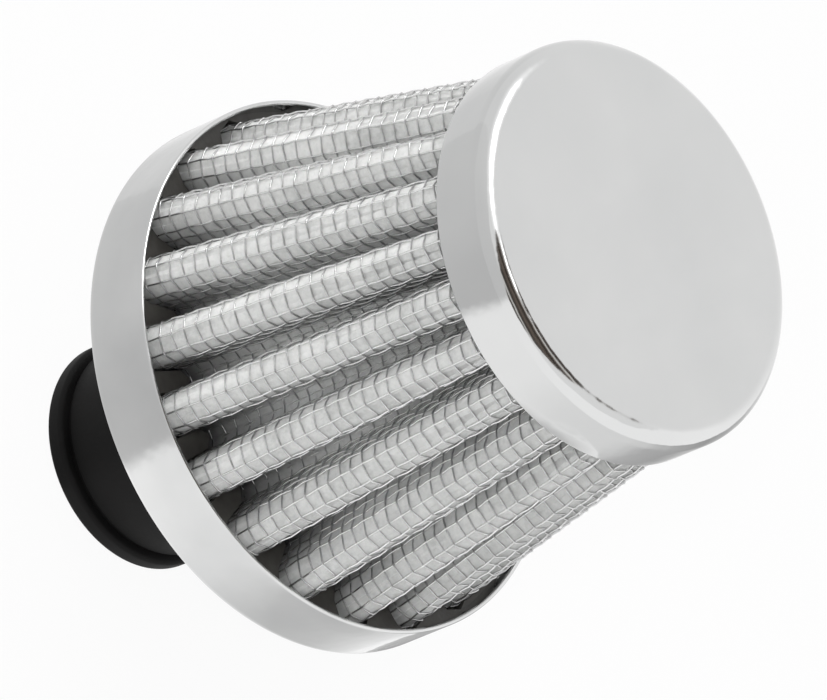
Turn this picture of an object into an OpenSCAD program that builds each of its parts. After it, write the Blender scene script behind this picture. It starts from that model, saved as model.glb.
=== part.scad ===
// Crankcase breather filter: a pleated gauze cone between two wire screens,
// held in a plated cap and a plated pan, with a rubber neck to push over a vent spigot.
// Origin: centre of the neck's end face. The axis is Z and the cap is at the top.

/* [Neck] */
// Length of the neck from its end face to the pan
neck_l = 26.6; // [18:0.1:40]
// Outer diameter of the neck
neck_d = 25.4; // [24:0.1:28]
// Bore of the neck
bore_d = 19.05; // [14:0.05:20]
// Diameter of the lip at the neck's end
lip_d = 27.2; // [26:0.1:32]
// Width of the lip along the axis
lip_w = 2.4; // [1.5:0.1:4]
// Depth of the groove behind the lip
groove_depth = 0.4; // [0.2:0.1:1]
// Width of the groove behind the lip
groove_w = 0.7; // [0.4:0.1:1.5]
// How far the flange inside the pan reaches past the neck
flange_reach = 6.3; // [3:0.1:6.5]
// Thickness of that flange
flange_t = 2; // [1:0.1:3]

/* [Pan and cap] */
// Outer diameter of the pan
pan_d = 63.5; // [62:0.5:80]
// Height of the pan over its floor and wall
pan_h = 9.5; // [8:0.1:14]
// Outer radius of the pan's lower edge
pan_edge_r = 1.6; // [1:0.1:2.5]
// Outer diameter of the cap
cap_d = 48; // [47:0.5:56]
// Height of the cap
cap_h = 7.5; // [7:0.1:12]
// Outer radius of the cap's upper edge
cap_edge_r = 2.2; // [1:0.1:3]
// Thickness of the plated sheet
sheet_t = 0.6; // [0.4:0.1:0.8]
// Length of pleats that shows between the pan and the cap
open_l = 39.5; // [30:0.5:60]

/* [Pleats] */
// Number of pleats
pleat_n = 21; // [16:1:21]
// Direction of the first ridge's even place seen from above
first_ridge = 264.7; // [0:0.1:360]
// How far the hand-laid ridges stray from their even places, in degrees
stray = 0.9; // [0:0.1:1]
// How often the stray swings round the ring
stray_waves = 3; // [1:1:5]
// Ridge, counted from the first, that strays the most
stray_peak = -2; // [-10:1:10]
// Clearance between the pan's wall and the pleats' lower ends
pan_clearance = 0.2; // [0.1:0.05:1]
// Clearance between the cap's wall and the pleats' upper ends
cap_clearance = 1.37; // [0.9:0.01:1.5]
// Depth of a pleat
pleat_depth = 8; // [6:0.1:8]
// Radius of a ridge fold at its lower end, to the middle of the pack
ridge_r_low = 1.95; // [1.7:0.05:2]
// Radius of a ridge fold at its upper end, to the middle of the pack
ridge_r_high = 1.7; // [1.6:0.05:1.75]
// Angle by which each side of a pleat leans in
lean = 7.2; // [7:0.1:7.5]
// Thickness of one gauze ply
ply_t = 0.16; // [0.1:0.01:0.16]

/* [Screens] */
// Diameter of the screen wire
wire_d = 0.22; // [0.18:0.01:0.22]
// Spacing of the wires that run round the element
hoop_pitch = 1.72; // [1.5:0.01:4]
// Outside, one in so many of those wires is drawn
outer_every = 2; // [2:1:4]
// Inside, one in so many of those wires is drawn
inner_every = 4; // [4:1:6]

/* [Potting] */
// Depth of the lower sealant's surface below the pan's rim
base_drop = 2.8; // [2:0.1:3.5]
// Depth of the upper sealant's surface above the cap's rim
top_rise = 2.1; // [1:0.1:2.5]
// Length of the pleats that is buried in the lower sealant
base_bury = 1.3; // [1:0.1:1.5]
// Length of the pleats that is buried in the upper sealant
top_bury = 2; // [1:0.1:2.2]
// How far the lower sealant reaches inwards past the pleats
potting_reach = 4.9; // [2:0.1:6]

/* [Hidden] */
$fn = 96;

// Clearance between two layers of the pack
layer_gap = 0.01;
// Clearance round the pack in the sealant
pocket_gap = 0.03;
ply_n = 4;
plated = [0.78, 0.79, 0.8];
rubber = [0.12, 0.12, 0.13];
sealant = [0.2, 0.2, 0.21];
gauze = [0.9, 0.9, 0.88];
wire = [0.66, 0.67, 0.68];

// Heights
pan_z = neck_l;
rim_z = pan_z + pan_h;
cap_z = rim_z + open_l;
top_z = cap_z + cap_h;
base_potting_z = rim_z - base_drop;
top_potting_z = cap_z + top_rise;
pack_low_z = base_potting_z - base_bury;
pack_high_z = top_potting_z + top_bury;

// Layers of the pack, measured from its middle surface: plies, hoops, then long wires
gauze_half = ply_n * ply_t / 2;
hoop_in = gauze_half + layer_gap;
hoop_out = hoop_in + wire_d;
wire_mid = hoop_out + layer_gap + wire_d / 2;
pack_half = wire_mid + wire_d / 2;

// Radius over the ridges at the pleats' lower and upper ends
tip_low = pan_d / 2 - sheet_t - pan_clearance;
tip_high = cap_d / 2 - sheet_t - cap_clearance;
// What the flange and the lower sealant take their size from
flange_d = neck_d + 2 * flange_reach;
base_potting_id = 2 * (tip_low - 2 * pack_half - pleat_depth - potting_reach);

// Steps along half a ridge fold and along half a valley fold
ridge_steps = 2;
valley_steps = 1;
// Where the long wires lie: steps on a ridge fold and fractions of a pleat's side
wire_steps = [-1, 0, 1];
wire_fractions = [0, 0.4, 0.8];

function mix(a, b, t) = a + (b - a) * t;
function turn(p, a) = [p.x * cos(a) - p.y * sin(a), p.x * sin(a) + p.y * cos(a)];
function flip(p) = [p.x, -p.y];
function flat(lists) = [for (l = lists) each l];
function on_arc(centre, r, a) = centre + r * [cos(a), sin(a)];

// Direction of ridge k, and half the angle from it to the next ridge
function ridge_dir(k) =
    first_ridge + 360 * k / pleat_n
    + stray * cos(360 * stray_waves * (k - stray_peak) / pleat_n);
function half_gap(k) = (ridge_dir(k + 1) - ridge_dir(k)) / 2;

// Share of the pleats' height that lies below z
function share(z) = (z - pack_low_z) / (pack_high_z - pack_low_z);
// Radius over the ridges, to the middle of the pack, at height z
function mid_tip(z) = mix(tip_low, tip_high, share(z)) - pack_half;
function ridge_r(z) = mix(ridge_r_low, ridge_r_high, share(z));
function ridge_centre(z) = [mid_tip(z) - ridge_r(z), 0];
// Radius of a valley fold h degrees beside a ridge: the largest that the sides leave
function valley_r(z, h) =
    let (s = sin(h - lean))
    ((mid_tip(z) - pleat_depth) * s + ridge_centre(z).x * sin(lean) - ridge_r(z)) / (1 - s);
function valley_centre(z, h) =
    turn([mid_tip(z) - pleat_depth + valley_r(z, h), 0], h);

// A point on a fold, at height z and at the offset d from the middle surface
function on_ridge(z, d, t) = on_arc(ridge_centre(z), ridge_r(z) + d, t * (90 + lean));
function on_valley(z, d, t, h) =
    on_arc(valley_centre(z, h), valley_r(z, h) - d, mix(lean - 90, h - 180, t));
function on_side(z, d, t, h) = mix(on_ridge(z, d, 1), on_valley(z, d, 0, h), t);

// Pleat k's outline, from just past one valley's bottom to the next valley's bottom
function valley_half(z, d, h) =
    [for (j = [0:valley_steps]) on_valley(z, d, j / valley_steps, h)];
function pleat(z, d, k) = concat(
    [for (j = [valley_steps - 1:-1:0]) flip(valley_half(z, d, half_gap(k - 1))[j])],
    [for (j = [-ridge_steps:ridge_steps]) on_ridge(z, d, j / ridge_steps)],
    valley_half(z, d, half_gap(k))
);
// The whole ring of pleats
function ring(z, d) = flat([
    for (k = [0:pleat_n - 1]) [for (p = pleat(z, d, k)) turn(p, ridge_dir(k))]
]);
function lift(points, z) = [for (p = points) [p.x, p.y, z]];

// A pleated sheet between two offsets from the middle surface
module pleated_sheet(inner, outer) {
    n = len(pleat(pack_low_z, 0, 0)) * pleat_n;
    points = concat(
        lift(ring(pack_low_z, outer), pack_low_z), lift(ring(pack_high_z, outer), pack_high_z),
        lift(ring(pack_low_z, inner), pack_low_z), lift(ring(pack_high_z, inner), pack_high_z)
    );
    faces = flat([for (i = [0:n - 1]) let (j = (i + 1) % n) [
        [i, i + n, j + n, j],
        [i + 2 * n, j + 2 * n, j + 3 * n, i + 3 * n],
        [i + n, i + 3 * n, j + 3 * n, j + n],
        [i, j, j + 2 * n, i + 2 * n]
    ]]);
    polyhedron(points = points, faces = faces);
}

// A flat band that follows the pleats at height z, between two offsets
module pleated_band(z, inner, outer, height, z_in = undef) {
    a = ring(z, outer);
    b = ring(is_undef(z_in) ? z : z_in, inner);
    n = len(a);
    translate([0, 0, z])
    linear_extrude(height)
    polygon(concat(a, b), paths = [[for (i = [0:n - 1]) i], [for (i = [0:n - 1]) i + n]]);
}

// A straight wire between two points
module rod(p, q, d) {
    v = q - p;
    l = norm(v);
    translate(p)
    rotate([0, acos(v.z / l), atan2(v.y, v.x)])
    cylinder(d = d, h = l);
}

// The wires that run round the element, on one side of the gauze
module hoops(inner, outer, every) {
    first_z = pack_low_z + hoop_pitch / 2;
    for (z = [first_z:hoop_pitch * every:pack_high_z - wire_d])
        pleated_band(z, inner, outer, wire_d);
}

// Plan position of each long wire of pleat k, at height z
function wire_spots(z, d, k) = let (left = half_gap(k - 1), right = half_gap(k)) concat(
    [for (j = wire_steps) on_ridge(z, d, j / ridge_steps)],
    flat([for (t = wire_fractions) [on_side(z, d, t, right), flip(on_side(z, d, t, left))]]),
    [on_valley(z, d, 1, right)]
);

// All the wires that run along the pleats, on one side of the gauze
module long_wires(d) {
    for (k = [0:pleat_n - 1]) {
        low = wire_spots(pack_low_z, d, k);
        high = wire_spots(pack_high_z, d, k);
        rotate(ridge_dir(k))
        for (i = [0:len(low) - 1])
            rod([low[i].x, low[i].y, pack_low_z], [high[i].x, high[i].y, pack_high_z], wire_d);
    }
}

// Half section of a solid disc whose lower edge is rounded
module round_disc(r, h, edge) {
    square([r - edge, h]);
    translate([0, edge]) square([r, h - edge]);
    translate([r - edge, edge]) circle(edge);
}

// Half section of a drawn cup that stands on its closed end, with a rounded rim
module cup(r, h, edge, t) {
    difference() {
        round_disc(r, h - t / 2, edge);
        translate([0, t]) round_disc(r - t, h, edge - t);
    }
    translate([r - t / 2, h - t / 2]) circle(t / 2);
}

module top_cap() {
    color(plated)
    translate([0, 0, top_z])
    mirror([0, 0, 1])
    rotate_extrude()
    cup(cap_d / 2, cap_h, cap_edge_r, sheet_t);
}

module base_pan() {
    color(plated)
    difference() {
        translate([0, 0, pan_z]) rotate_extrude() cup(pan_d / 2, pan_h, pan_edge_r, sheet_t);
        translate([0, 0, pan_z - 1]) cylinder(d = neck_d, h = sheet_t + 2);
    }
}

module rubber_neck() {
    neck_top = pan_z + sheet_t + flange_t;
    color(rubber)
    rotate_extrude()
    difference() {
        union() {
            square([neck_d / 2, neck_top]);
            lip_section();
            translate([0, pan_z + sheet_t]) square([flange_d / 2, flange_t]);
        }
        translate([0, -1]) square([bore_d / 2, neck_top + 2]);
        translate([neck_d / 2 - groove_depth, lip_w]) square([groove_depth + 1, groove_w]);
    }
}

// Half section of the lip, with a rounded outer edge
module lip_section() {
    r = lip_w / 4;
    square([lip_d / 2 - r, lip_w]);
    translate([0, r]) square([lip_d / 2, lip_w - 2 * r]);
    translate([lip_d / 2 - r, r]) circle(r);
    translate([lip_d / 2 - r, lip_w - r]) circle(r);
}

module base_potting() {
    floor_z = pan_z + sheet_t;
    color(sealant)
    difference() {
        translate([0, 0, floor_z])
        rotate_extrude()
        difference() {
            round_disc(pan_d / 2 - sheet_t, base_potting_z - floor_z, pan_edge_r - sheet_t);
            translate([0, -1]) square([base_potting_id / 2, pan_h]);
            translate([0, -1]) square([flange_d / 2, flange_t + 1]);
        }
        pocket(pack_low_z, base_bury + 1, base_potting_z);
    }
}

module top_potting() {
    roof_z = top_z - sheet_t;
    color(sealant)
    difference() {
        translate([0, 0, roof_z])
        mirror([0, 0, 1])
        rotate_extrude()
        round_disc(cap_d / 2 - sheet_t, roof_z - top_potting_z, cap_edge_r - sheet_t);
        translate([0, 0, -1]) pocket(top_potting_z, top_bury + 1, pack_high_z);
    }
}

// Room for the buried end of the pack: its outline low down outside and high up inside
module pocket(z, height, z_in) {
    pleated_band(z, -pack_half - pocket_gap, pack_half + pocket_gap, height, z_in);
}

// One gauze ply, counted from the air chamber outwards
module gauze_ply(i) {
    inner = -gauze_half + (i - 1) * ply_t;
    color(gauze) pleated_sheet(inner + layer_gap / 2, inner + ply_t - layer_gap / 2);
}

module outer_screen_hoops() {
    color(wire) hoops(hoop_in, hoop_out, outer_every);
}

module outer_screen_wires() {
    color(wire) long_wires(wire_mid);
}

module inner_screen_hoops() {
    color(wire) hoops(-hoop_out, -hoop_in, inner_every);
}

module inner_screen_wires() {
    color(wire) long_wires(-wire_mid);
}

// The strip stands on the air-chamber side of one valley fold, away from the viewer
module seam_strip() {
    seam_valley = 11;
    width = 3;
    thickness = 0.4;
    overrun = 5;
    r_low = mid_tip(pack_low_z) - pleat_depth - pack_half - layer_gap;
    r_high = mid_tip(pack_high_z) - pleat_depth - pack_half - layer_gap;
    height = top_potting_z - base_potting_z;
    slope = atan2(r_low - r_high, pack_high_z - pack_low_z);
    r_start = mix(r_low, r_high, (base_potting_z - pack_low_z) / (pack_high_z - pack_low_z));
    color(wire)
    intersection() {
        rotate(ridge_dir(seam_valley) + half_gap(seam_valley))
        translate([r_start, 0, base_potting_z])
        rotate([0, -slope, 0])
        translate([-thickness, -width / 2, -1])
        cube([thickness, width, height + overrun]);
        translate([0, 0, base_potting_z + layer_gap])
        cylinder(r = pan_d / 2, h = height - 2 * layer_gap);
    }
}

top_cap();
base_pan();
rubber_neck();
base_potting();
top_potting();
gauze_ply(1);  // gauze_ply_1
gauze_ply(2);  // gauze_ply_2
gauze_ply(3);  // gauze_ply_3
gauze_ply(4);  // gauze_ply_4
outer_screen_hoops();
outer_screen_wires();
inner_screen_hoops();
inner_screen_wires();
seam_strip();
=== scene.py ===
import math

import bpy
import numpy as np
from mathutils import Matrix, Vector


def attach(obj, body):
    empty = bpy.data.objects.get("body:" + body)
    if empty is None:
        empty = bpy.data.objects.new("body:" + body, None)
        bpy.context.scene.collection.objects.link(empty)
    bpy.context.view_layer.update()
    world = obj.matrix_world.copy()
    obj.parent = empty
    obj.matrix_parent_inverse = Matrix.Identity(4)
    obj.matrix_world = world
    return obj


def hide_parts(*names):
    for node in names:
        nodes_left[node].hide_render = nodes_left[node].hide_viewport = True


# The crankcase breather filter: meshes and materials over the CAD frame, and the studio round it
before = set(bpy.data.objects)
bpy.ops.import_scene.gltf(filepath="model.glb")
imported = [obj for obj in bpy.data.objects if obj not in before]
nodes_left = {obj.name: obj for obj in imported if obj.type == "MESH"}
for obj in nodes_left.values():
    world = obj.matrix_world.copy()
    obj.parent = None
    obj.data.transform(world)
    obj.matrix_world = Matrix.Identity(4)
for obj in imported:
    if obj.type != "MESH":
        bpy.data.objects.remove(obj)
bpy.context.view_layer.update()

# The same sizes as in the CAD source, in millimetres
MM = 0.001
NECK_D, BORE_D, LIP_D, LIP_W = 25.4, 19.05, 27.2, 2.4
GROOVE_DEPTH, GROOVE_W, GROOVE_EDGE_R = 0.4, 0.7, 0.15
BORE_EDGE_R = 0.3
FLANGE_D, FLANGE_T = 38.0, 2.0
PAN_D, PAN_EDGE_R = 63.5, 1.6
CAP_D, CAP_EDGE_R = 48.0, 2.2
SHEET_T = 0.6
PAN_Z, RIM_Z, CAP_Z, TOP_Z = 26.6, 36.1, 75.6, 83.1
BASE_POTTING_Z = 33.3
PACK_LOW_Z, PACK_HIGH_Z = 32.0, 79.7
PLEAT_N = 21
FIRST_RIDGE = 264.7
STRAY, STRAY_WAVES, STRAY_PEAK = 0.9, 3, -2
TIP_LOW, TIP_HIGH = 30.95, 22.03
PLEAT_DEPTH, LEAN = 8.0, 7.2
RIDGE_R_LOW, RIDGE_R_HIGH = 1.95, 1.7
GAUZE_HALF, PLY_T, PACK_HALF = 0.32, 0.16, 0.78
WIRE_D, HOOP_PITCH = 0.22, 1.72

# How far the ridges lean in for each millimetre up
TAPER = (TIP_LOW - TIP_HIGH) / (PACK_HIGH_Z - PACK_LOW_Z)

# The woven screen: long wires round the ring, hoops, and how far the weave swings
LONG_WIRE_N = 272
HOOP_N = 28
WEAVE_SWING = 0.09
# The screen's middle, out from the middle of the pack
SCREEN_MID = GAUZE_HALF + 0.185
# The outer ply's inner face, clear of the ply below
INNER_FACE = GAUZE_HALF - PLY_T + 0.02
# A hoop runs square to the leaning folds, so it rises by this much for each millimetre outwards
HOOP_CLIMB = math.tan(math.radians(10.5))
# How far the gauze swells between the wires
PILLOW = 0.035
# Share by which cloth and hoops run straight from one long wire to the next
FLATNESS = 0.85
# Where the cloth's columns stand between two long wires, and its rows between two hoops
COLUMN_STEPS = np.array([0, 0.1, 0.5, 0.9])
ROW_STEPS = np.array([0, 0.22, 0.78])

MID_Z = (PACK_LOW_Z + PACK_HIGH_Z) / 2
# Rows of the screen's grid at the pleats' two ends
ROW_LOW = -0.5
ROW_HIGH = ROW_LOW + (PACK_HIGH_Z - PACK_LOW_Z) / HOOP_PITCH
rng = np.random.default_rng(7)


# Pleats


def share(z):
    """Share of the pleats' height that lies below z."""
    return (z - PACK_LOW_Z) / (PACK_HIGH_Z - PACK_LOW_Z)


def mid_tip(z):
    """Radius over the ridges to the middle of the pack."""
    return TIP_LOW + (TIP_HIGH - TIP_LOW) * share(z) - PACK_HALF


def ridge_radius(z):
    """Radius of a ridge fold."""
    return RIDGE_R_LOW + (RIDGE_R_HIGH - RIDGE_R_LOW) * share(z)


def valley_radius(z, half_gap):
    """Radius of a valley fold between ridges that lie twice half_gap apart."""
    lean = math.radians(LEAN)
    s = np.sin(half_gap - lean)
    ridge_x = mid_tip(z) - ridge_radius(z)
    reach = (mid_tip(z) - PLEAT_DEPTH) * s
    return (reach + ridge_x * math.sin(lean) - ridge_radius(z)) / (1 - s)


def ridge_direction(k):
    """Direction of ridge k in radians, with the stray of pleats that were laid by hand."""
    stray = STRAY * np.cos(2 * math.pi * STRAY_WAVES * (k - STRAY_PEAK) / PLEAT_N)
    return np.radians(FIRST_RIDGE + 360 * k / PLEAT_N + stray)


def fold_lengths():
    """Lengths of half a ridge fold, a side and half a valley fold, at mid height."""
    lean, half_gap = math.radians(LEAN), math.pi / PLEAT_N
    ridge_r, valley_r = ridge_radius(MID_Z), valley_radius(MID_Z, half_gap)
    a = np.array([mid_tip(MID_Z) - ridge_r, 0.0])
    a = a + ridge_r * np.array([-math.sin(lean), math.cos(lean)])
    reach = mid_tip(MID_Z) - PLEAT_DEPTH + valley_r
    b = reach * np.array([math.cos(half_gap), math.sin(half_gap)])
    b = b + valley_r * np.array([math.sin(lean), -math.cos(lean)])
    ridge = ridge_r * (math.pi / 2 + lean)
    valley = valley_r * (math.pi / 2 + lean - half_gap)
    return ridge, float(np.linalg.norm(b - a)), valley


RIDGE_LEN, SIDE_LEN, VALLEY_LEN = fold_lengths()
HALF_PLEAT_LEN = RIDGE_LEN + SIDE_LEN + VALLEY_LEN


def on_pleats(g, z, d):
    """Point and outward normal on the pleats. g counts pleats along the cloth, d is the offset."""
    g, z, d = np.broadcast_arrays(np.asarray(g, float), z, d)
    lean = math.radians(LEAN)
    k = np.floor(g + 0.5)
    side = np.where(g >= k, 1.0, -1.0)
    half_gap = np.abs(ridge_direction(k + side) - ridge_direction(k)) / 2
    s = 2 * np.abs(g - k) * HALF_PLEAT_LEN
    ridge_r = ridge_radius(z)
    valley_r = valley_radius(z, half_gap)
    ridge_x = mid_tip(z) - ridge_r
    reach = mid_tip(z) - PLEAT_DEPTH + valley_r
    valley_x, valley_y = reach * np.cos(half_gap), reach * np.sin(half_gap)

    a = np.clip(s / RIDGE_LEN, 0, 1) * (math.pi / 2 + lean)
    ridge = (ridge_x + (ridge_r + d) * np.cos(a), (ridge_r + d) * np.sin(a))
    t = np.clip((s - RIDGE_LEN - SIDE_LEN) / VALLEY_LEN, 0, 1)
    b = (lean - math.pi / 2) + t * (half_gap - math.pi / 2 - lean)
    valley = (valley_x + (valley_r - d) * np.cos(b), valley_y + (valley_r - d) * np.sin(b))
    t = np.clip((s - RIDGE_LEN) / SIDE_LEN, 0, 1)
    in_valley = s > RIDGE_LEN + SIDE_LEN
    x = np.where(in_valley, valley[0], ridge[0] + (valley[0] - ridge[0]) * t)
    y = np.where(in_valley, valley[1], ridge[1] + (valley[1] - ridge[1]) * t)
    nx = np.where(in_valley, -np.cos(b), np.cos(a))
    ny = np.where(in_valley, -np.sin(b), np.sin(a))

    turn = ridge_direction(k)
    c, sn = np.cos(turn), np.sin(turn)
    y, ny = y * side, ny * side
    point = np.stack([x * c - y * sn, x * sn + y * c, z], -1)
    normal = np.stack([nx * c - ny * sn, nx * sn + ny * c, np.zeros_like(z)], -1)
    return point, normal


# Slow wander of the wires, so that the screen isn't a perfect grid
HOOP_WAVES = np.array([9, 16, 29, 53])
HOOP_WANDER = np.array([0.05, 0.05, 0.05, 0.03])
HOOP_PHASE = rng.uniform(0, 2 * math.pi, (HOOP_N + 6, len(HOOP_WAVES)))
WIRE_WAVES = np.array([0.7, 1.6, 3.1])
WIRE_WANDER = np.array([0.07, 0.03, 0.012])
WIRE_PHASE = rng.uniform(0, 2 * math.pi, (LONG_WIRE_N + 1, len(WIRE_WAVES)))
WIRE_PHASE[LONG_WIRE_N] = WIRE_PHASE[0]


def smooth(t):
    """Eases a share from 0 to 1 in and out."""
    return t * t * (3 - 2 * t)


def hoop_wander(rho, w):
    """How far the screen's row rho lies above its even place, at long wire w."""
    base = np.floor(rho)
    t = smooth(rho - base)
    total = 0
    for step, part in ((0, 1 - t), (1, t)):
        phase = HOOP_PHASE[(base + step + 2).astype(int)]
        angle = 2 * math.pi * w[..., None] * HOOP_WAVES / LONG_WIRE_N + phase
        total = total + part * (HOOP_WANDER * np.sin(angle)).sum(-1)
    return total


def wire_wander(rho, w):
    """How far the screen's column w lies beside its even place, in long wire pitches."""
    base = np.floor(w)
    t = smooth(w - base)
    total = 0
    for step, part in ((0, 1 - t), (1, t)):
        phase = WIRE_PHASE[((base + step) % LONG_WIRE_N).astype(int)]
        angle = 2 * math.pi * rho[..., None] * WIRE_WAVES / HOOP_N + phase
        total = total + part * (WIRE_WANDER * np.sin(angle)).sum(-1)
    return total


def on_screen(rho, w, d):
    """Point and normal at row rho and column w of the screen's grid."""
    rho, w, d = np.broadcast_arrays(np.asarray(rho, float), np.asarray(w, float), d)
    g = (w + wire_wander(rho, w)) * PLEAT_N / LONG_WIRE_N
    z = PACK_LOW_Z + HOOP_PITCH * (rho + 0.5) + hoop_wander(rho, w)
    flat, _ = on_pleats(g, z, 0.0)
    tip = mid_tip(z)
    z = z + (np.hypot(flat[..., 0], flat[..., 1]) - tip) * HOOP_CLIMB
    return on_pleats(g, z, d)


def on_facets(rho, w, d):
    """Like on_screen, but nearly straight from each long wire to the next."""
    rho, w, d = np.broadcast_arrays(np.asarray(rho, float), np.asarray(w, float), d)
    base = np.floor(w + 1e-9)
    t = (w - base)[..., None]
    curved, normal = on_screen(rho, w, d)
    start, _ = on_screen(rho, base, d)
    end, _ = on_screen(rho, base + 1, d)
    straight = start + (end - start) * t
    return curved + (straight - curved) * FLATNESS, normal


# Meshes


def add_mesh(name, points, faces, smooth_angle=None, uv=None):
    """A mesh object from points in millimetres. uv has one pair for each point."""
    mesh = bpy.data.meshes.new(name)
    mesh.from_pydata((np.asarray(points) * MM).tolist(), [], [tuple(f) for f in faces])
    mesh.validate()
    mesh.polygons.foreach_set("use_smooth", [True] * len(mesh.polygons))
    if smooth_angle is not None:
        mesh.set_sharp_from_angle(angle=math.radians(smooth_angle))
    if uv is not None:
        layer = mesh.uv_layers.new(name="cloth")
        corner = np.zeros(len(mesh.loops), np.int32)
        mesh.loops.foreach_get("vertex_index", corner)
        layer.data.foreach_set("uv", np.asarray(uv, np.float32)[corner].ravel())
    obj = bpy.data.objects.new(name, mesh)
    bpy.context.scene.collection.objects.link(obj)
    return obj


def add_disc(name, radius=1 / MM, segments=48):
    """A flat disc round its own middle, with its radius in millimetres."""
    angles = np.linspace(0, 2 * math.pi, segments, endpoint=False)
    points = [(0.0, 0.0, 0.0)] + [(radius * math.cos(a), radius * math.sin(a), 0.0) for a in angles]
    faces = [(0, i + 1, (i + 1) % segments + 1) for i in range(segments)]
    return add_mesh(name, points, faces)


def arc(cx, cz, r, start, end, steps=8):
    """Points of a profile's arc, in degrees."""
    angles = np.radians(np.linspace(start, end, steps + 1))
    return [(cx + r * math.cos(a), cz + r * math.sin(a)) for a in angles]


def lathe(name, profile, segments=256, smooth_angle=35):
    """Turns a profile of (radius, z) into a closed mesh. A radius of zero is a pole."""
    points, rings = [], []
    angles = np.linspace(0, 2 * math.pi, segments, endpoint=False)
    for r, z in profile:
        if r < 1e-6:
            rings.append([len(points)] * segments)
            points.append((0, 0, z))
        else:
            rings.append(list(range(len(points), len(points) + segments)))
            points += [(r * math.cos(a), r * math.sin(a), z) for a in angles]
    faces = []
    pole_ends = profile[0][0] < 1e-6
    pairs = zip(rings, rings[1:]) if pole_ends else zip(rings, rings[1:] + rings[:1])
    for low, high in pairs:
        for i in range(segments):
            j = (i + 1) % segments
            face = [low[i], low[j], high[j], high[i]]
            face = [v for n, v in enumerate(face) if v != face[n - 1]]
            if len(face) > 2:
                faces.append(face)
    return add_mesh(name, points, faces, smooth_angle)


def tube(centre, normal, radius, closed, sides=5):
    """Points and faces of a round wire along a centre line. normal is square to it."""
    if closed:
        along = np.roll(centre, -1, 0) - np.roll(centre, 1, 0)
    else:
        along = np.gradient(centre, axis=0)
    along /= np.linalg.norm(along, axis=1, keepdims=True)
    normal = normal - along * (normal * along).sum(1, keepdims=True)
    normal /= np.linalg.norm(normal, axis=1, keepdims=True)
    across = np.cross(along, normal)
    angles = np.linspace(0, 2 * math.pi, sides, endpoint=False)
    ring = normal[:, None] * np.cos(angles)[None, :, None]
    ring = ring + across[:, None] * np.sin(angles)[None, :, None]
    points = (centre[:, None] + radius * ring).reshape(-1, 3)
    n = len(centre)
    i = np.arange(n if closed else n - 1)[:, None]
    j = (i + 1) % n
    s = np.arange(sides)[None, :]
    t = (s + 1) % sides
    faces = np.stack([i * sides + s, i * sides + t, j * sides + t, j * sides + s], -1)
    faces = faces.reshape(-1, 4).tolist()
    if not closed:
        faces.append(list(range(sides))[::-1])
        faces.append(list(range((n - 1) * sides, n * sides)))
    return points, faces


def wires(name, centres_normals, closed):
    """One object of many wires."""
    points, faces, count = [], [], 0
    for centre, normal in centres_normals:
        p, f = tube(centre, normal, WIRE_D / 2, closed)
        points.append(p)
        faces += [[v + count for v in face] for face in f]
        count += len(p)
    return add_mesh(name, np.concatenate(points), faces)


def hoop(k):
    """Centre line of hoop k: it passes over one long wire and under the next."""
    w = np.linspace(0, LONG_WIRE_N, LONG_WIRE_N * 4, endpoint=False)
    d = SCREEN_MID + WEAVE_SWING * np.cos(math.pi * (w + k))
    return on_facets(k, w, d)


def long_wire(j):
    """Centre line of long wire j."""
    rho = np.linspace(ROW_LOW, ROW_HIGH, HOOP_N * 2 + 1)
    d = SCREEN_MID - WEAVE_SWING * np.cos(math.pi * (rho + j))
    return on_screen(rho, j, d)


def gauze_sheet(name):
    """The outer ply, swollen between the wires outside and plain inside."""
    w = (np.arange(LONG_WIRE_N)[:, None] + COLUMN_STEPS).ravel()
    inside = (np.arange(HOOP_N)[:, None] + ROW_STEPS).ravel()
    inside = inside[(inside > ROW_LOW + 0.1) & (inside < ROW_HIGH - 0.1)]
    rho = np.concatenate([[ROW_LOW], inside, [ROW_HIGH]])
    columns, rows = len(w), len(rho) - 1
    grid_w, grid_rho = np.meshgrid(w, rho)
    cell = np.sin(math.pi * grid_w) ** 2 * np.sin(math.pi * grid_rho) ** 2
    outer, _ = on_facets(grid_rho, grid_w, GAUZE_HALF + PILLOW * cell)
    inner, _ = on_screen(rho[[-1, 0]][:, None], w[None, :], INNER_FACE)
    points = np.concatenate([outer.reshape(-1, 3), inner.reshape(-1, 3)])
    i = np.arange(rows + 3)[:, None]
    i_next = (i + 1) % (rows + 3)
    j = np.arange(columns)[None, :]
    j_next = (j + 1) % columns
    faces = np.stack(np.broadcast_arrays(
        i * columns + j, i * columns + j_next,
        i_next * columns + j_next, i_next * columns + j), -1)
    u = np.tile(w / LONG_WIRE_N, rows + 3)
    v = np.repeat(np.concatenate([rho, rho[[-1, 0]]]) / HOOP_N, columns)
    return add_mesh(name, points, faces.reshape(-1, 4).tolist(), uv=np.stack([u, v], -1))


# Materials


def new_material(name):
    """A material with its nodes, links and shader."""
    material = bpy.data.materials.new(name)
    material.use_nodes = True
    tree = material.node_tree
    return material, tree.nodes, tree.links, tree.nodes["Principled BSDF"]


def add_noise(nodes, links, vector, scale, detail=3.0, roughness=0.5):
    """A noise texture, and its factor output."""
    noise = nodes.new("ShaderNodeTexNoise")
    noise.inputs["Scale"].default_value = scale
    noise.inputs["Detail"].default_value = detail
    noise.inputs["Roughness"].default_value = roughness
    links.new(vector, noise.inputs["Vector"])
    return noise.outputs["Fac"]


def add_ramp(nodes, links, fac, stops):
    """A colour ramp through (position, colour) stops."""
    ramp = nodes.new("ShaderNodeValToRGB")
    elements = ramp.color_ramp.elements
    while len(elements) < len(stops):
        elements.new(0.5)
    for element, (position, colour) in zip(elements, stops):
        element.position = position
        element.color = (*colour, 1)
    links.new(fac, ramp.inputs["Fac"])
    return ramp.outputs["Color"]


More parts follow.
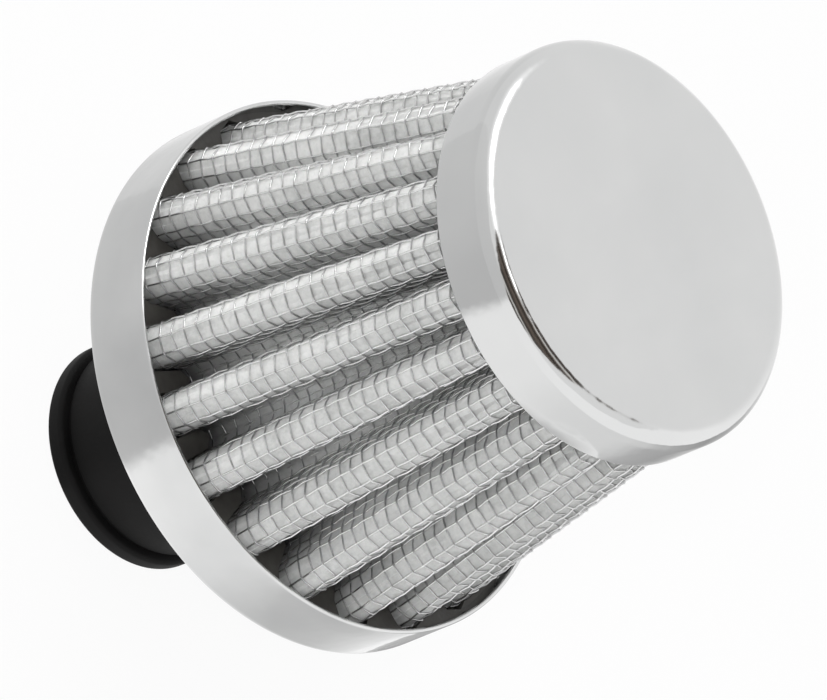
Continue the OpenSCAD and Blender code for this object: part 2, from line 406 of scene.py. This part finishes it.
def add_range(nodes, links, fac, low, high, from_low=0.3, from_high=0.7):
    """Maps a factor to a range."""
    ranged = nodes.new("ShaderNodeMapRange")
    ranged.inputs["From Min"].default_value = from_low
    ranged.inputs["From Max"].default_value = from_high
    ranged.inputs["To Min"].default_value = low
    ranged.inputs["To Max"].default_value = high
    links.new(fac, ranged.inputs["Value"])
    return ranged.outputs["Result"]


def add_bump(nodes, links, height, strength, distance, normal=None):
    """A bump of a height, on top of another one."""
    bump = nodes.new("ShaderNodeBump")
    bump.inputs["Strength"].default_value = strength
    bump.inputs["Distance"].default_value = distance
    links.new(height, bump.inputs["Height"])
    if normal is not None:
        links.new(normal, bump.inputs["Normal"])
    return bump.outputs["Normal"]


def plated_steel(name, dull, bright):
    """Bright plating with haze and handling marks, between a dull and a bright grey."""
    material, nodes, links, shader = new_material(name)
    where = nodes.new("ShaderNodeTexCoord").outputs["Object"]
    shader.inputs["Metallic"].default_value = 1.0
    patches = add_noise(nodes, links, where, 60, 4)
    colour = add_ramp(nodes, links, patches, [
        (0.3, (dull, dull + 0.004, dull + 0.004)), (0.7, (bright, bright + 0.002, bright))])
    links.new(colour, shader.inputs["Base Color"])
    haze = add_noise(nodes, links, where, 140, 5, 0.6)
    links.new(add_range(nodes, links, haze, 0.07, 0.12), shader.inputs["Roughness"])
    ripple = add_noise(nodes, links, where, 220, 2)
    grain = add_noise(nodes, links, where, 2600, 2)
    swell = add_noise(nodes, links, where, 55, 1)
    normal = add_bump(nodes, links, swell, 1.0, 0.0009)
    normal = add_bump(nodes, links, ripple, 0.24, 0.0004, normal)
    links.new(add_bump(nodes, links, grain, 0.04, 0.00005, normal), shader.inputs["Normal"])
    return material


def black_rubber():
    """Moulded black rubber, slightly dusty and matt."""
    material, nodes, links, shader = new_material("black_rubber")
    where = nodes.new("ShaderNodeTexCoord").outputs["Object"]
    shader.inputs["Specular IOR Level"].default_value = 0.12
    bloom = add_noise(nodes, links, where, 90, 5, 0.65)
    colour = add_ramp(nodes, links, bloom, [
        (0.3, (0.003, 0.003, 0.003)), (0.75, (0.0075, 0.007, 0.007))])
    links.new(colour, shader.inputs["Base Color"])
    links.new(add_range(nodes, links, bloom, 0.50, 0.66), shader.inputs["Roughness"])
    grain = add_noise(nodes, links, where, 3000, 3, 0.6)
    links.new(add_bump(nodes, links, grain, 0.25, 0.00006), shader.inputs["Normal"])
    return material


def dark_sealant():
    """Poured dark sealant with a skin of small waves."""
    material, nodes, links, shader = new_material("sealant")
    where = nodes.new("ShaderNodeTexCoord").outputs["Object"]
    waves = add_noise(nodes, links, where, 260, 4)
    colour = add_ramp(nodes, links, waves, [
        (0.3, (0.050, 0.047, 0.043)), (0.7, (0.100, 0.096, 0.088))])
    links.new(colour, shader.inputs["Base Color"])
    links.new(add_range(nodes, links, waves, 0.3, 0.5), shader.inputs["Roughness"])
    links.new(add_bump(nodes, links, waves, 0.5, 0.0006), shader.inputs["Normal"])
    return material


def add_product(nodes, links, a, b):
    """The product of two numbers that vary over the surface."""
    product = nodes.new("ShaderNodeMath")
    product.operation = "MULTIPLY"
    links.new(a, product.inputs[0])
    links.new(b, product.inputs[1])
    return product.outputs["Value"]


def add_painted_shade(nodes, links, where):
    """Darkening for the cloth: painted shade deep in the folds near the sealant, and a darker band
    within 2 mm of the sealant.
    """
    spot = nodes.new("ShaderNodeSeparateXYZ")
    links.new(where, spot.inputs["Vector"])
    flat = nodes.new("ShaderNodeVectorMath")
    flat.operation = "MULTIPLY"
    flat.inputs[1].default_value = (1, 1, 0)
    links.new(where, flat.inputs[0])
    radius = nodes.new("ShaderNodeVectorMath")
    radius.operation = "LENGTH"
    links.new(flat.outputs["Vector"], radius.inputs[0])
    above_cone = nodes.new("ShaderNodeMath")
    above_cone.operation = "MULTIPLY_ADD"
    above_cone.inputs[1].default_value = TAPER
    links.new(spot.outputs["Z"], above_cone.inputs[0])
    links.new(radius.outputs["Value"], above_cone.inputs[2])
    ridge = (TIP_LOW + TAPER * PACK_LOW_Z) * MM
    # Painted shade deep in the folds, fading out 13 mm above the sealant
    deep = add_range(nodes, links, above_cone.outputs["Value"], 1, 0, ridge - 6 * MM, ridge - MM)
    near = add_range(nodes, links, spot.outputs["Z"], 0.85, 0,
                     BASE_POTTING_Z * MM, (BASE_POTTING_Z + 13) * MM)
    both = add_product(nodes, links, deep, near)
    close = add_range(nodes, links, spot.outputs["Z"], 0.6, 1,
                      (BASE_POTTING_Z + 0.2) * MM, (BASE_POTTING_Z + 2) * MM)
    unshaded = nodes.new("ShaderNodeMath")
    unshaded.operation = "SUBTRACT"
    unshaded.inputs[0].default_value = 1
    links.new(both, unshaded.inputs[1])
    return add_product(nodes, links, close, unshaded.outputs["Value"])


def cotton_gauze(name, threads_from_uv):
    """White cotton gauze with fibres, and with threads where the mesh has a UV map along them."""
    material, nodes, links, shader = new_material(name)
    coords = nodes.new("ShaderNodeTexCoord")
    where = coords.outputs["Object"]
    shader.inputs["Roughness"].default_value = 0.9
    shader.inputs["Specular IOR Level"].default_value = 0.2
    shader.inputs["Sheen Weight"].default_value = 0.25
    shader.inputs["Sheen Roughness"].default_value = 0.5
    fibres = add_noise(nodes, links, where, 1500, 6, 0.7)
    cloud = add_noise(nodes, links, where, 160, 3)
    mixed = nodes.new("ShaderNodeMix")
    mixed.inputs["Factor"].default_value = 0.45
    links.new(fibres, mixed.inputs["A"])
    links.new(cloud, mixed.inputs["B"])
    colour = add_ramp(nodes, links, mixed.outputs["Result"], [
        (0.34, (0.60, 0.605, 0.595)), (0.5, (0.76, 0.765, 0.755)), (0.64, (0.86, 0.86, 0.85))])
    # The cloth's colour takes painted shade deep in the folds near the sealant, and a darker band
    # within 2 mm of the sealant
    painted_shade_fac = add_painted_shade(nodes, links, where)
    shaded = nodes.new("ShaderNodeMix")
    shaded.data_type = "RGBA"
    shaded.blend_type = "MULTIPLY"
    shaded.inputs["Factor"].default_value = 1.0
    links.new(colour, shaded.inputs["A"])
    links.new(painted_shade_fac, shaded.inputs["B"])
    links.new(shaded.outputs["Result"], shader.inputs["Base Color"])
    normal = add_bump(nodes, links, fibres, 0.7, 0.00012)
    if threads_from_uv:
        for axis, scale in (("X", 87.0), ("Y", 10.5)):
            wave = nodes.new("ShaderNodeTexWave")
            wave.bands_direction = axis
            wave.inputs["Scale"].default_value = scale
            wave.inputs["Distortion"].default_value = 1.2
            links.new(coords.outputs["UV"], wave.inputs["Vector"])
            normal = add_bump(nodes, links, wave.outputs["Fac"], 0.3, 0.00008, normal)
    links.new(normal, shader.inputs["Normal"])
    return material


def screen_wire(name, dull, bright):
    """Drawn aluminium wire, between a dull and a bright grey."""
    material, nodes, links, shader = new_material(name)
    where = nodes.new("ShaderNodeTexCoord").outputs["Object"]
    shader.inputs["Metallic"].default_value = 1.0
    tarnish = add_noise(nodes, links, where, 700, 4)
    colour = add_ramp(nodes, links, tarnish, [
        (0.3, (dull, dull, dull)), (0.7, (bright, bright, bright))])
    links.new(colour, shader.inputs["Base Color"])
    links.new(add_range(nodes, links, tarnish, 0.12, 0.22), shader.inputs["Roughness"])
    scratches = add_noise(nodes, links, where, 5000, 2)
    links.new(add_bump(nodes, links, scratches, 0.2, 0.00002), shader.inputs["Normal"])
    return material


def give(obj, material):
    """Puts one material on every slot of an object."""
    if not obj.material_slots:
        obj.data.materials.append(material)
    for material_slot in obj.material_slots:
        material_slot.material = material


# The object


def finish_piece(obj, material, slot_name, *nodes):
    """Gives a piece its material and body, and hides the CAD nodes that it stands for. slot_name is
    not used.
    """
    give(obj, material)
    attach(obj, "root")
    if nodes:
        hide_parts(*nodes)
    return obj


def cap_profile():
    """The cap from the middle of its face, round the edge and rim, to the middle inside."""
    r, t, edge = CAP_D / 2, SHEET_T, CAP_EDGE_R
    profile = [(0, TOP_Z), (r * 0.5, TOP_Z)]
    profile += arc(r - edge, TOP_Z - edge, edge, 90, 0, 16)
    profile += [(r, CAP_Z + 2)]
    profile += arc(r - t / 2, CAP_Z + t / 2, t / 2, 0, -180, 10)
    profile += [(r - t, CAP_Z + 2)]
    profile += arc(r - edge, TOP_Z - edge, edge - t, 0, 90, 8)
    return profile + [(r * 0.5, TOP_Z - t), (0, TOP_Z - t)]


def pan_profile():
    """The pan from its hole outside, up the wall, over the rim and back inside."""
    r, t, edge, hole = PAN_D / 2, SHEET_T, PAN_EDGE_R, NECK_D / 2
    profile = [(hole, PAN_Z), (r * 0.7, PAN_Z)]
    profile += arc(r - edge, PAN_Z + edge, edge, -90, 0, 14)
    profile += [(r, RIM_Z - 3)]
    profile += arc(r - t / 2, RIM_Z - t / 2, t / 2, 0, 180, 10)
    profile += [(r - t, RIM_Z - 3)]
    profile += arc(r - edge, PAN_Z + edge, edge - t, 0, -90, 8)
    return profile + [(hole, PAN_Z + t)]


def neck_profile():
    """The neck from its bore's end, over the lip, the groove and the flange."""
    bore, neck, lip = BORE_D / 2, NECK_D / 2, LIP_D / 2
    r = LIP_W / 4
    floor_z = PAN_Z + SHEET_T
    top = floor_z + FLANGE_T
    profile = arc(bore + BORE_EDGE_R, BORE_EDGE_R, BORE_EDGE_R, 180, 270, 4)
    profile += arc(lip - r, r, r, -90, 0, 8)
    profile += arc(lip - r, LIP_W - r, r, 0, 90, 8)
    groove, edge = neck - GROOVE_DEPTH, GROOVE_EDGE_R
    profile += [(groove, LIP_W), (groove, LIP_W + GROOVE_W)]
    profile += arc(neck - edge, LIP_W + GROOVE_W + edge, edge, -90, 0, 3)
    profile += [(neck, PAN_Z - 4), (neck, floor_z), (FLANGE_D / 2, floor_z)]
    return profile + [(FLANGE_D / 2, top), (bore, top), (bore, PAN_Z / 2)]


cap_plating = plated_steel("plated_steel", 0.625, 0.66)
pan_plating = plated_steel("plated_steel_pan", 0.59, 0.69)
rubber = black_rubber()
potting = dark_sealant()
# Hoops and long wires are the same aluminium; the hoops' darker grey is painted shade
shaded_wire_metal = screen_wire("screen_wire", 0.50, 0.72)
long_metal = screen_wire("screen_wire_long", 0.78, 0.90)
outer_gauze = cotton_gauze("cotton_gauze", True)
inner_gauze = cotton_gauze("cotton_gauze_inner", False)

finish_piece(lathe("cap", cap_profile()), cap_plating, "plated_steel", "top_cap")
finish_piece(lathe("pan", pan_profile()), pan_plating, "plated_steel", "base_pan")
finish_piece(lathe("neck", neck_profile()), rubber, "black_rubber", "rubber_neck")

gauze = finish_piece(gauze_sheet("outer_gauze"), outer_gauze, "cotton_gauze", "gauze_ply_4")

# The hoops are two pieces, so that each keeps within the triangles that a piece may have
HALF_HOOPS = HOOP_N // 2
low_hoops = wires("screen_hoops_low", [hoop(k) for k in range(HALF_HOOPS)], True)
finish_piece(low_hoops, shaded_wire_metal, "screen_wire", "outer_screen_hoops")
high_hoops = wires("screen_hoops_high", [hoop(k) for k in range(HALF_HOOPS, HOOP_N)], True)
finish_piece(high_hoops, shaded_wire_metal, "screen_wire", "outer_screen_hoops")
long_wires = wires("screen_long_wires", [long_wire(j) for j in range(LONG_WIRE_N)], False)
finish_piece(long_wires, long_metal, "screen_wire", "outer_screen_wires")

for node_name in ("base_potting", "top_potting"):
    give(nodes_left[node_name], potting)
for node_name in ("gauze_ply_1", "gauze_ply_2", "gauze_ply_3"):
    give(nodes_left[node_name], inner_gauze)
for node_name in ("inner_screen_hoops", "inner_screen_wires", "seam_strip"):
    give(nodes_left[node_name], shaded_wire_metal)


# The studio


# The camera, from the fit to the photographed outlines
IMAGE_W, FOCAL_PX = 827, 12000
CAMERA_PLACE = (0.00136, -1.0180, 0.9431)
CAMERA_RIGHT = (0.3955, 0.6072, 0.6891)
CAMERA_BACK = (0.0, -0.7503, 0.6611)
# Strength of the white room as light on the object, and the floor's share of plain white
ROOM_LIGHT, FLOOR_GLOW = 0.43, 0.93
# Heights that the lamps and the oval cards turn to, in metres
LAMP_AIM_Z, CARD_AIM_Z = 0.055, 0.06


def camera_at_photo():
    """The camera of the photograph."""
    data = bpy.data.cameras.new("camera")
    data.sensor_width = 36.0
    data.lens = FOCAL_PX / IMAGE_W * data.sensor_width
    data.clip_start = 0.05
    data.clip_end = 20
    obj = bpy.data.objects.new("camera", data)
    back = Vector(CAMERA_BACK).normalized()
    right = Vector(CAMERA_RIGHT)
    right = (right - back * right.dot(back)).normalized()
    up = back.cross(right)
    turn = Matrix((right, up, back)).transposed().to_4x4()
    obj.matrix_world = Matrix.Translation(CAMERA_PLACE) @ turn
    bpy.context.scene.collection.objects.link(obj)
    bpy.context.scene.camera = obj


def add_lamp(name, place, size, power):
    """A square soft lamp that points at the object, and that metal doesn't reflect."""
    data = bpy.data.lights.new(name, "AREA")
    data.shape = "SQUARE"
    data.size = size
    data.energy = power
    obj = bpy.data.objects.new(name, data)
    obj.location = place
    aim = Vector((0, 0, LAMP_AIM_Z)) - Vector(place)
    obj.rotation_euler = aim.to_track_quat("-Z", "Y").to_euler()
    obj.visible_glossy = False
    bpy.context.scene.collection.objects.link(obj)


def add_spot(name, place, aim_at, angle, power):
    """A spotlight with a soft edge, for a part of the object. angle is its full cone, in degrees."""
    data = bpy.data.lights.new(name, "SPOT")
    data.spot_size = math.radians(angle)
    data.spot_blend = 1.0
    data.shadow_soft_size = 0.15
    data.energy = power
    obj = bpy.data.objects.new(name, data)
    obj.location = place
    aim = Vector(aim_at) - place
    obj.rotation_euler = aim.to_track_quat("-Z", "Y").to_euler()
    obj.visible_glossy = False
    bpy.context.scene.collection.objects.link(obj)


def glow_material(name, pattern, stops):
    """A card's light. pattern is RADIAL, by the turn about the card's Z, or SPHERICAL, by distance."""
    material = bpy.data.materials.new(name)
    material.use_nodes = True
    nodes, links = material.node_tree.nodes, material.node_tree.links
    nodes.clear()
    output = nodes.new("ShaderNodeOutputMaterial")
    glow = nodes.new("ShaderNodeEmission")
    where = nodes.new("ShaderNodeTexCoord").outputs["Object"]
    gradient = nodes.new("ShaderNodeTexGradient")
    gradient.gradient_type = pattern
    links.new(where, gradient.inputs["Vector"])
    shade = add_ramp(nodes, links, gradient.outputs["Fac"], stops)
    links.new(shade, glow.inputs["Color"])
    links.new(glow.outputs["Emission"], output.inputs["Surface"])
    return material


def only_in_reflections(obj):
    """A card that metal shows, and that neither lights the object nor is seen."""
    obj.visible_camera = False
    obj.visible_diffuse = False
    obj.visible_transmission = False
    obj.visible_shadow = False


def sky_point(turn, height, distance):
    """A point on a sphere round the object, from its direction and height in degrees."""
    a, e = math.radians(turn), math.radians(height)
    return Vector((math.cos(e) * math.cos(a), math.cos(e) * math.sin(a), math.sin(e))) * distance


def disc_card(name, turn, height, size, stops, distance=1.6):
    """An oval card that faces the object. Its shade goes from the rim, stop 0, to the middle."""
    obj = add_disc(name)
    place = sky_point(turn, height, distance)
    face = place.to_track_quat("Z", "Y").to_matrix().to_4x4()
    stretch = Matrix.Diagonal((size[0], size[1], 1, 1))
    obj.matrix_world = Matrix.Translation(place + Vector((0, 0, CARD_AIM_Z))) @ face @ stretch
    give(obj, glow_material(name, "SPHERICAL", stops))
    only_in_reflections(obj)


def white_floor():
    """A white floor that keeps the object's soft shadow."""
    bpy.ops.mesh.primitive_plane_add(size=14, location=(0, 0, 0))
    floor = bpy.context.object
    floor.name = "floor"
    material, nodes, links, shader = new_material("floor_white")
    shader.inputs["Roughness"].default_value = 0.9
    shader.inputs["Specular IOR Level"].default_value = 0.0
    where = nodes.new("ShaderNodeTexCoord").outputs["Object"]
    mottle = add_noise(nodes, links, where, 3, 2)
    colour = add_ramp(nodes, links, mottle, [(0.3, (0.86, 0.86, 0.86)), (0.7, (0.88, 0.88, 0.88))])
    links.new(colour, shader.inputs["Base Color"])
    path = nodes.new("ShaderNodeLightPath")
    glow = nodes.new("ShaderNodeEmission")
    blend = nodes.new("ShaderNodeMixShader")
    camera_share = nodes.new("ShaderNodeMath")
    camera_share.operation = "MULTIPLY"
    camera_share.inputs[1].default_value = FLOOR_GLOW
    links.new(path.outputs["Is Camera Ray"], camera_share.inputs[0])
    links.new(camera_share.outputs["Value"], blend.inputs["Fac"])
    links.new(shader.outputs["BSDF"], blend.inputs[1])
    links.new(glow.outputs["Emission"], blend.inputs[2])
    links.new(blend.outputs["Shader"], nodes["Material Output"].inputs["Surface"])
    give(floor, material)


def white_room():
    """An even room: white to the eye and in metal, dimmer as light on the object."""
    world = bpy.data.worlds.new("studio")
    bpy.context.scene.world = world
    world.use_nodes = True
    nodes, links = world.node_tree.nodes, world.node_tree.links
    background = nodes["Background"]
    path = nodes.new("ShaderNodeLightPath")
    seen = nodes.new("ShaderNodeMath")
    seen.operation = "MAXIMUM"
    links.new(path.outputs["Is Camera Ray"], seen.inputs[0])
    links.new(path.outputs["Is Glossy Ray"], seen.inputs[1])
    also = nodes.new("ShaderNodeMath")
    also.operation = "MAXIMUM"
    links.new(seen.outputs["Value"], also.inputs[0])
    links.new(path.outputs["Is Transmission Ray"], also.inputs[1])
    strength = nodes.new("ShaderNodeMapRange")
    strength.inputs["To Min"].default_value = ROOM_LIGHT
    strength.inputs["To Max"].default_value = 1.0
    links.new(also.outputs["Value"], strength.inputs["Value"])
    links.new(strength.outputs["Result"], background.inputs["Strength"])
    background.inputs["Color"].default_value = (1, 1, 1, 1)


def around_stops(greys):
    """Stops of a RADIAL pattern from pairs (direction, grey)."""
    return sorted((((d + 180) % 360) / 360, (g, g, g)) for d, g in greys)


def ground_card():
    """What the metal's walls reflect below them: duller to one side, brighter to the other."""
    obj = add_disc("ground_card", 3000, 64)
    obj.location = (0, 0, 0.0002)
    greys = [(90, 1.05), (120, 1.0), (160, 0.86), (180, 0.80), (225, 0.76), (250, 0.69),
             (268, 0.67), (273, 1.16), (310, 1.14), (335, 1.02), (6, 0.96), (16, 0.85),
             (28, 0.58), (44, 0.46), (60, 0.66), (72, 1.05)]
    give(obj, glow_material("ground_card", "RADIAL", around_stops(greys)))
    only_in_reflections(obj)


def wall_card():
    """What the metal's bends reflect above the horizon, all round."""
    sides, radius = 64, 2900
    angles = np.linspace(0, 2 * math.pi, sides, endpoint=False)
    points = [(radius * math.cos(a), radius * math.sin(a), 0) for a in angles]
    tops = np.interp(np.degrees(angles), [0, 95, 125, 262, 272, 360],
                     [3200, 3200, 5200, 5200, 3200, 3200])
    points += [(x, y, top) for (x, y, _), top in zip(points, tops)]
    faces = [(i, (i + 1) % sides, (i + 1) % sides + sides, i + sides) for i in range(sides)]
    obj = add_mesh("wall_card", points, faces)
    greys = [(90, 1.0), (130, 0.99), (165, 0.92), (180, 0.86), (210, 0.81), (240, 0.77),
             (268, 0.73), (272, 1.16), (340, 1.20), (60, 1.20), (76, 1.06)]
    give(obj, glow_material("wall_card", "RADIAL", around_stops(greys)))
    only_in_reflections(obj)


def level_disc(name, place, size):
    """A level oval. size is its two half sizes in metres."""
    obj = add_disc(name)
    obj.location = place
    obj.scale = (size[0], size[1], 1)
    return obj


def ground_shadow_card():
    """Painted shadow of the object on the ground close to it: a disc, duller in the middle, which the
    pan's wall reflects.
    """
    obj = level_disc("ground_shadow_card", (0.070, -0.012, 0.0004), (0.045, 0.045))
    give(obj, glow_material("ground_shadow_card", "SPHERICAL", [
        (0, (1.14, 1.14, 1.14)), (0.35, (0.9, 0.9, 0.9)), (0.6, (0.74, 0.74, 0.74)),
        (1, (0.70, 0.70, 0.70))]))
    only_in_reflections(obj)


def overhead_card():
    """A dark oval overhead with a few paler streaks, which the cap's bend shows as a crescent."""
    obj = level_disc("overhead_card", (0.15, -0.05, 1.68), (0.56, 1.45))
    material = glow_material("overhead_card", "SPHERICAL", [
        (0, (1, 1, 1)), (0.05, (0.35, 0.33, 0.31)), (0.14, (0, 0, 0)), (1, (0, 0, 0))])
    nodes, links = material.node_tree.nodes, material.node_tree.links
    where = nodes["Texture Coordinate"].outputs["Object"]
    ragged = nodes.new("ShaderNodeTexNoise")
    ragged.inputs["Scale"].default_value = 2.5
    ragged.inputs["Detail"].default_value = 4
    links.new(where, ragged.inputs["Vector"])
    spot = nodes.new("ShaderNodeSeparateXYZ")
    links.new(where, spot.inputs["Vector"])
    shifted = nodes.new("ShaderNodeMath")
    shifted.operation = "MULTIPLY_ADD"
    shifted.inputs[1].default_value = 0.35
    links.new(ragged.outputs["Fac"], shifted.inputs[0])
    links.new(spot.outputs["Y"], shifted.inputs[2])
    place = add_range(nodes, links, shifted.outputs["Value"], 0, 1, -0.825, 1.175)
    dark, brown, pale = (0.03, 0.026, 0.022), (0.16, 0.13, 0.11), (0.85, 0.83, 0.80)
    streaks = add_ramp(nodes, links, place, [
        (0, brown), (0.12, dark), (0.19, pale), (0.27, dark), (0.45, brown), (0.56, dark),
        (0.64, brown), (0.71, pale), (0.78, dark), (1, brown)])
    both = nodes.new("ShaderNodeMix")
    both.data_type = "RGBA"
    both.blend_type = "LIGHTEN"
    both.inputs["Factor"].default_value = 1.0
    glow = nodes["Emission"]
    rim = glow.inputs["Color"].links[0].from_socket
    links.new(rim, both.inputs["A"])
    links.new(streaks, both.inputs["B"])
    links.new(both.outputs["Result"], glow.inputs["Color"])
    give(obj, material)
    only_in_reflections(obj)


def lamp_place(turn, height, distance=1.36):
    """A lamp's place from its direction and height in degrees."""
    return sky_point(turn, height, distance) + Vector((0, 0, LAMP_AIM_Z))


camera_at_photo()
white_floor()
white_room()
ground_card()
ground_shadow_card()
wall_card()
overhead_card()
# The long highlight on the cap's bend, and a small glint beside it
disc_card("side_card", turn=141, height=56, size=(0.75, 0.95), stops=[
    (0, (0.97, 0.97, 0.97)), (0.2, (1.02, 1.02, 1.02)), (0.45, (1.3, 1.3, 1.3)),
    (0.60, (2.4, 2.4, 2.4)), (0.75, (7, 7, 7)), (1, (16, 16, 16))])
disc_card("glint_card", turn=98, height=66, size=(0.07, 0.10), stops=[
    (0, (1, 1, 1)), (0.4, (4, 4, 4)), (1, (5, 5, 5))], distance=1.45)
add_lamp("key_lamp", lamp_place(172, 36), size=1.1, power=12.5)
add_lamp("front_lamp", lamp_place(262, 42), size=0.9, power=3.0)
add_lamp("fill_lamp", lamp_place(345, 35), size=1.0, power=1.1)
# More light on the pleats at the left, which the photograph has brighter
add_spot("side_spot", lamp_place(262, 42), aim_at=(-0.034, -0.010, 0.05), angle=4.6, power=150.0)
bpy.context.scene.view_settings.view_transform = "Standard"
